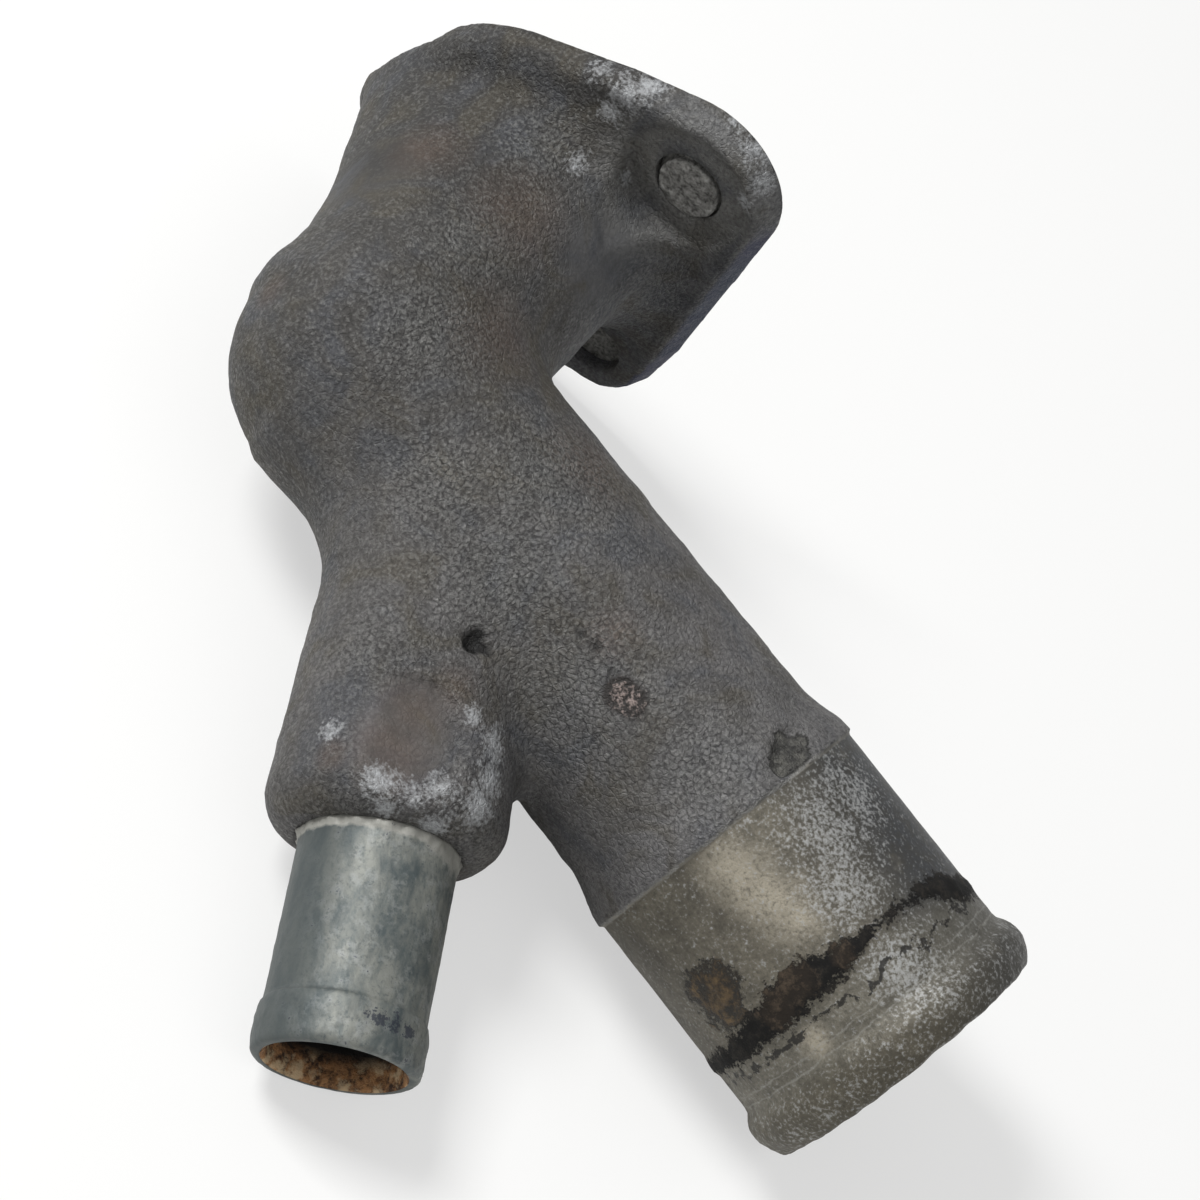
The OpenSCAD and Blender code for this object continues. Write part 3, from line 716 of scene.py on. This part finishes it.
# Cored passages: sand-rough aluminium under brown scale and chalky bloom from old coolant
passage_skin, tree, place = new_material("scaled_coolant_passage")
ragged, broad = (
    node(tree, "ShaderNodeTexNoise",
         {"Vector": place, "Scale": 1 / size, "Detail": detail, "Roughness": rough})
    for size, detail, rough in ((2.5, 6.0, 0.7), (9, 3.0, 0.5)))
tone = node(tree, "ShaderNodeMapRange", {"Value": broad, "From Min": 0.38, "From Max": 0.6})
ground = node(tree, "ShaderNodeMix", {0: tone, MIX_A: srgb("#4a3a2b"), MIX_B: srgb("#5d5349")}, **COLOURS)
bloom = node(tree, "ShaderNodeMapRange", {"Value": ragged, "From Min": 0.56, "From Max": 0.7, "To Max": 0.7})
ground = node(tree, "ShaderNodeMix", {0: bloom, MIX_A: ground, MIX_B: srgb("#97917f")}, **COLOURS)
bump = node(tree, "ShaderNodeBump", {"Height": ragged, "Distance": 0.3 * MM, "Strength": 0.9})
surface = node(tree, "ShaderNodeBsdfPrincipled", {"Base Color": ground, "Roughness": 0.85, "Normal": bump})
node(tree, "ShaderNodeOutputMaterial", {"Surface": surface})

for finish in (cast_skin, turned_neck, gasket_face, passage_skin):
    cast_piece.data.materials.append(finish)

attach(cast_piece, "root")
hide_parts("cast_body")


# Packed dirt: grit and corrosion that fill each bolt hole, close under the spot face at the
# upper bolt and deeper at the two lower ones. It crumbles, so its top is rough.
def spun(profile, start, way, segments):
    """Points and faces of a closed mesh, turned from a closed loop of [radius, distance]."""
    aside = np.cross(way, [0.0, 0.0, 1.0])
    aside /= np.linalg.norm(aside)
    other = np.cross(way, aside)
    turns = np.arange(segments) * 2 * math.pi / segments
    spoke = np.cos(turns)[:, None] * aside + np.sin(turns)[:, None] * other
    points = start + profile[:, 1, None, None] * way + profile[:, 0, None, None] * spoke
    i, j = np.meshgrid(np.arange(len(profile)), np.arange(segments), indexing="ij")
    i_next, j_next = (i + 1) % len(profile), (j + 1) % segments
    faces = np.stack([i * segments + j, i * segments + j_next, i_next * segments + j_next,
                      i_next * segments + j], -1).reshape(-1, 4)
    return points.reshape(-1, 3), faces


def even(profile, gap):
    """The same outline with a point at least every gap."""
    profile = np.asarray(profile, float)
    parts = []
    for a, b in zip(profile, np.roll(profile, -1, axis=0)):
        steps = max(1, math.ceil(np.linalg.norm(b - a) / gap))
        parts.append(a + (b - a) * (np.arange(steps) / steps)[:, None])
    return np.concatenate(parts)


def weld(piece):
    """Closes the points that lie on the axis into one, and turns every face outwards."""
    grid = bmesh.new()
    grid.from_mesh(piece.data)
    bmesh.ops.remove_doubles(grid, verts=grid.verts, dist=0.0005 * MM)
    bmesh.ops.recalc_face_normals(grid, faces=grid.faces)
    grid.to_mesh(piece.data)
    grid.free()


dirt, tree, place = new_material("packed_road_dirt")
fine = node(tree, "ShaderNodeTexNoise", {"Vector": place, "Scale": 1 / 0.7, "Detail": 5.0, "Roughness": 0.7})
tone = node(tree, "ShaderNodeMapRange", {"Value": fine, "From Min": 0.34, "From Max": 0.7})
ground = node(tree, "ShaderNodeMix", {0: tone, MIX_A: srgb("#42413e"), MIX_B: srgb("#a8a7a3")}, **COLOURS)
bump = node(tree, "ShaderNodeBump", {"Height": fine, "Distance": 0.3 * MM, "Strength": 1.0})
surface = node(tree, "ShaderNodeBsdfPrincipled", {"Base Color": ground, "Roughness": 0.9, "Normal": bump})
node(tree, "ShaderNodeOutputMaterial", {"Surface": surface})

for name, bolt, depth, gap in zip(("upper", "inner", "outer"), bolts, (0.1, 2.4, 1.2), (0.45, 0.1, 0.1)):
    top, bottom = seat_z + spot_face_depth + depth, neck_run - 0.7
    plug_r = bolt_r + 0.02 - gap
    shelf = top + min(1.2, bottom - top - 0.3)
    ring = even([(0, top), (plug_r - 0.1, top), (plug_r, top + 0.2), (plug_r, shelf),
                 (bolt_r + 0.02, shelf + 0.1), (bolt_r + 0.02, bottom), (0, bottom)], 0.3)
    middle = bolt - flange_dir * (bolt @ flange_dir)
    points, faces = spun(ring, middle, flange_dir, 72)
    lift = points @ flange_dir
    from_axis = np.linalg.norm(points - middle - lift[:, None] * flange_dir, axis=1)
    free = np.clip((bolt_r - 0.1 - from_axis) / 0.5, 0, 1)
    free *= lift < (top + bottom) / 2
    points = points + flange_dir * (free * 0.35 * grain(points, 1.8, 3, 5.5))[:, None]
    aside = gap * (0.3 * flange_side - 0.95 * up_dir)
    points = points + np.clip((shelf + 0.1 - lift) / 0.1, 0, 1)[:, None] * aside
    plug = mesh_piece(f"dirt_in_{name}_bolt_hole", points, faces)
    weld(plug)
    plug.data.materials.append(dirt)
    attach(plug, "root")


# Heater tube: a drawn steel tube, zinc plated, pressed into the branch. Its end is rolled
# up into a bead for the heater hose. The zinc has gone chalky and blue-grey, white bloom
# rings the joint with the casting, and the bare inside is thick with rust.
tube_wall = tube_r - mount_radius("heater_passage")
tube_start = boss_len - socket_depth
tube_end = mounts["heater_passage"]["dims"]["length_mm"] + boss_len - socket_depth
tube_bead_len, tube_bead_rise = 6.0, 0.6
bulge = np.linspace(0, math.pi, 17)
outer = np.stack([tube_r + tube_bead_rise * np.sin(bulge) ** 0.8,
                  tube_end - tube_bead_len + tube_bead_len * (1 - np.cos(bulge)) / 2], 1)
outer[-4:, 0] -= np.array([0.0, 0.08, 0.2, 0.45])
section = [(tube_r - tube_wall, tube_start), (tube_r, tube_start), *outer.tolist(),
           (tube_r - tube_wall + 0.25, tube_end), (tube_r - tube_wall, tube_end - 0.35)]
points, faces = spun(even(section, 0.55), branch_at, branch_dir, 240)
along_tube = (points - branch_at) @ branch_dir
spoke = points - branch_at - along_tube[:, None] * branch_dir
radius = np.linalg.norm(spoke, axis=1)
spoke /= radius[:, None]
outer_side = radius > tube_r - 0.5 * tube_wall
showing = np.clip(along_tube - boss_len + 0.5, 0, 1)
wear = 0.05 * grain(points, 3.0, 3) + 0.03 * grain(points, 0.9, 2, 3.3) - 0.05
near_bead = np.clip((along_tube - tube_end + tube_bead_len) / 1.5, 0, 1)
wear += near_bead * (0.09 * grain(points, 1.6, 3, 8.1) - 0.08)
bloom_ring = np.exp(-((along_tube - boss_len - 0.2) / 0.6) ** 2)
bloom_ring *= 0.25 + 0.5 * grain(points, 1.3, 3, 6.1)
crust = -np.clip(0.3 + 0.45 * grain(points, 2.4, 3, 2.2), 0, 0.9) * np.clip(tube_end - along_tube, 0, 1)
points = points + spoke * np.where(outer_side, wear * showing + bloom_ring, crust)[:, None]
tube_piece = mesh_piece("zinc_plated_tube", points, faces)
sideways = spoke @ np.cross(up_dir, branch_dir)
bloom_reach = 0.8 + 1.6 * np.clip((sideways - 0.3) / 0.5, 0, 1)
bloom = np.exp(-((along_tube - boss_len - 0.3) / bloom_reach) ** 2)
# Painted shade: darker on the tube's flanks, most on one side
flank = np.clip((-sideways - 0.35) / 0.5, 0, 1) + 0.12 * np.clip((sideways - 0.5) / 0.4, 0, 1)
# Painted shade: the rust turns near black deeper inside the tube
deep = np.clip((tube_end - along_tube - 2.2) / 1.8, 0, 1)
scratch = near(points, [(67.0, -53.0, 9.7, 1.9), (68.4, -51.9, 8.7, 1.7),
                        (65.4, -54.4, 10.2, 1.7), (64.0, -55.4, 10.7, 1.3)])
for name, amounts in (("bloom", np.where(outer_side, bloom, 0)), ("flank", flank),
                      ("deep", np.where(outer_side, 0, deep)), ("scratch", scratch)):
    paint(tube_piece, name, amounts)
face_points = points[faces].mean(1)
face_along = (face_points - branch_at) @ branch_dir
face_radius = np.linalg.norm(face_points - branch_at - face_along[:, None] * branch_dir, axis=1)
inside_face = face_radius < tube_r - 0.7 * tube_wall
tube_piece.data.polygons.foreach_set("material_index", inside_face.astype(np.int32))
weld(tube_piece)

# Zinc plate gone chalky: blue-grey with darker streaks along the tube, where water ran, and
# pale patches of zinc oxide. It is dull, with only a little of the metal's shine left.
zinc, tree, place = new_material("chalky_zinc_plate")
branch_turn = math.atan2(branch_dir[1], branch_dir[0])
streaked = node(tree, "ShaderNodeMapping", vector_type="TEXTURE", inputs={
    "Vector": place, "Rotation": (0, 0, branch_turn), "Scale": (2.0, 1, 1)})
fine, ragged, stripe, cloud = (
    node(tree, "ShaderNodeTexNoise",
         {"Vector": where, "Scale": 1 / size, "Detail": detail, "Roughness": rough, "Distortion": bend})
    for where, size, detail, rough, bend in (
        (place, 0.5, 4.0, 0.7, 0.0), (place, 2.0, 6.0, 0.7, 0.0),
        (streaked, 1.1, 4.0, 0.6, 0.0), (streaked, 3.2, 5.0, 0.6, 0.4)))
bloom, scratch, flank = (node(tree, "ShaderNodeAttribute", out=2, attribute_name=name)
                         for name in ("bloom", "scratch", "flank"))
tone = node(tree, "ShaderNodeMapRange", {"Value": cloud, "From Min": 0.36, "From Max": 0.6})
ground = node(tree, "ShaderNodeMix", {0: tone, MIX_A: srgb("#4d5556"), MIX_B: srgb("#7e807a")}, **COLOURS)
bloom_grown = node(tree, "ShaderNodeMath", {0: ragged, 1: 1.2, 2: bloom}, operation="MULTIPLY_ADD")
scratch_grown = node(tree, "ShaderNodeMath", {0: ragged, 1: 2.2, 2: scratch}, operation="MULTIPLY_ADD")
scratch_grown = node(tree, "ShaderNodeMath", {0: fine, 1: 1.2, 2: scratch_grown}, operation="MULTIPLY_ADD")

# Streaks, chalk, painted shade on the flanks, pits, the bloom at the joint and the dark scratch
for value, start, full, most, colour in (
        (stripe, 0.5, 0.34, 0.5, "#4c5657"), (ragged, 0.52, 0.7, 0.6, "#9da09f"),
        (flank, 0.0, 1.0, 0.85, "#42494a"), (fine, 0.46, 0.3, 0.6, "#3f474a"),
        (bloom_grown, 0.95, 1.35, 0.85, "#a3a29b"), (scratch_grown, 2.1, 2.3, 0.85, "#272c38")):
    share = node(tree, "ShaderNodeMapRange",
                 {"Value": value, "From Min": start, "From Max": full, "To Max": most})
    ground = node(tree, "ShaderNodeMix", {0: share, MIX_A: ground, MIX_B: srgb(colour)}, **COLOURS)
bump = node(tree, "ShaderNodeBump", {"Height": ragged, "Distance": 0.12 * MM, "Strength": 0.9})
surface = node(tree, "ShaderNodeBsdfPrincipled", {"Base Color": ground, "Roughness": 0.55, "Metallic": 0.3,
                                                  "Normal": bump})
node(tree, "ShaderNodeOutputMaterial", {"Surface": surface})

# Rust inside the bare end of the tube: loose brown and orange lumps with tan dust on them, going to near
# black painted shade deeper in
rust_crust, tree, place = new_material("flaking_rust")
lump, patch = (
    node(tree, "ShaderNodeTexNoise",
         {"Vector": place, "Scale": 1 / size, "Detail": detail, "Roughness": rough})
    for size, detail, rough in ((1.2, 6.0, 0.7), (2.6, 5.0, 0.65)))
tone = node(tree, "ShaderNodeMapRange", {"Value": lump, "From Min": 0.4, "From Max": 0.58})
ground = node(tree, "ShaderNodeMix", {0: tone, MIX_A: srgb("#3a281b"), MIX_B: srgb("#a87c52")}, **COLOURS)
pale = node(tree, "ShaderNodeMapRange", {"Value": patch, "From Min": 0.5, "From Max": 0.6, "To Max": 0.8})
ground = node(tree, "ShaderNodeMix", {0: pale, MIX_A: ground, MIX_B: srgb("#cdb591")}, **COLOURS)
deep = node(tree, "ShaderNodeAttribute", out=2, attribute_name="deep")
ground = node(tree, "ShaderNodeMix", {0: deep, MIX_A: ground, MIX_B: srgb("#0c0806")}, **COLOURS)
bump = node(tree, "ShaderNodeBump", {"Height": lump, "Distance": 0.5 * MM, "Strength": 1.0})
surface = node(tree, "ShaderNodeBsdfPrincipled", {"Base Color": ground, "Roughness": 0.9, "Normal": bump})
node(tree, "ShaderNodeOutputMaterial", {"Surface": surface})

tube_piece.data.materials.append(zinc)
tube_piece.data.materials.append(rust_crust)
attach(tube_piece, "root")
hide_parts("heater_tube")


# Studio: a pale floor under the lowest point of the part, a white surround and two soft
# lamps, so that each finish shows at about its own colour. Sight of the floor is lifted
# towards white, and it keeps the shadow.
floor_z = cad_low.z
half = 1.5
floor_mesh = bpy.data.meshes.new("floor")
floor_mesh.from_pydata([(-half, -half, floor_z), (half, -half, floor_z), (half, half, floor_z),
                        (-half, half, floor_z)], [], [(0, 1, 2, 3)])
floor = bpy.data.objects.new("floor", floor_mesh)
bpy.context.scene.collection.objects.link(floor)
floor_paint = bpy.data.materials.new("pale_matt_floor")
floor_paint.use_nodes = True
tree = floor_paint.node_tree
tree.nodes.clear()
matt = node(tree, "ShaderNodeBsdfPrincipled", {"Base Color": srgb("#efefed"), "Roughness": 0.9,
                                               "Specular IOR Level": 0.1})
lift = node(tree, "ShaderNodeEmission", {"Color": srgb("#ffffff"), "Strength": 1.0})
light_path = tree.nodes.new("ShaderNodeLightPath").outputs
share = node(tree, "ShaderNodeMapRange", {"Value": light_path["Is Camera Ray"], "To Max": 0.55})
surface = node(tree, "ShaderNodeMixShader", {0: share, 1: matt, 2: lift})
node(tree, "ShaderNodeOutputMaterial", {"Surface": surface})
floor_mesh.materials.append(floor_paint)

world = bpy.data.worlds.new("studio")
bpy.context.scene.world = world
world.use_nodes = True
tree = world.node_tree
tree.nodes.clear()
light_path = tree.nodes.new("ShaderNodeLightPath").outputs
seen = node(tree, "ShaderNodeMath", {0: light_path["Is Camera Ray"], 1: light_path["Is Transmission Ray"]},
            operation="MAXIMUM")
strength = node(tree, "ShaderNodeMapRange", {"Value": seen, "To Min": 0.35, "To Max": 1.0})
backdrop = node(tree, "ShaderNodeBackground", {"Color": srgb("#ffffff"), "Strength": strength})
node(tree, "ShaderNodeOutputWorld", {"Surface": backdrop})

middle = (cad_low + cad_high) / 2


def lamp(name, azimuth, elevation, away, size, watts):
    """A square soft lamp that looks at the middle of the part."""
    light = bpy.data.lights.new(name, "AREA")
    light.size = size
    light.energy = watts
    lamp_object = bpy.data.objects.new(name, light)
    a, e = math.radians(azimuth), math.radians(elevation)
    out = Vector((math.sin(a) * math.cos(e), -math.cos(a) * math.cos(e), math.sin(e)))
    lamp_object.location = middle + out * away
    lamp_object.rotation_mode = "QUATERNION"
    lamp_object.rotation_quaternion = out.to_track_quat("Z", "Y")
    bpy.context.scene.collection.objects.link(lamp_object)


lamp("key", -70, 50, 0.9, 0.3, 8.0)
lamp("fill", 60, 60, 1.0, 0.8, 1.5)

# Camera: a look down at the part on the bench, turned about its own axis
azimuth, elevation, roll = math.radians(10.96), math.radians(46.55), math.radians(42.24)
aim = Vector((49.0, -33.5, -10.3)) * MM
camera_data = bpy.data.cameras.new("camera")
camera_data.lens = 84.0
camera_data.sensor_width = 36.0
camera_data.clip_start = 0.01
camera = bpy.data.objects.new("camera", camera_data)
bpy.context.scene.collection.objects.link(camera)
bpy.context.scene.camera = camera
back = Vector((math.sin(azimuth) * math.cos(elevation), -math.cos(azimuth) * math.cos(elevation),
               math.sin(elevation)))
camera.location = aim + back * 0.350
camera.rotation_mode = "QUATERNION"
camera.rotation_quaternion = back.to_track_quat("Z", "Y") @ Matrix.Rotation(roll, 4, "Z").to_quaternion()

bpy.context.scene.view_settings.view_transform = "Standard"
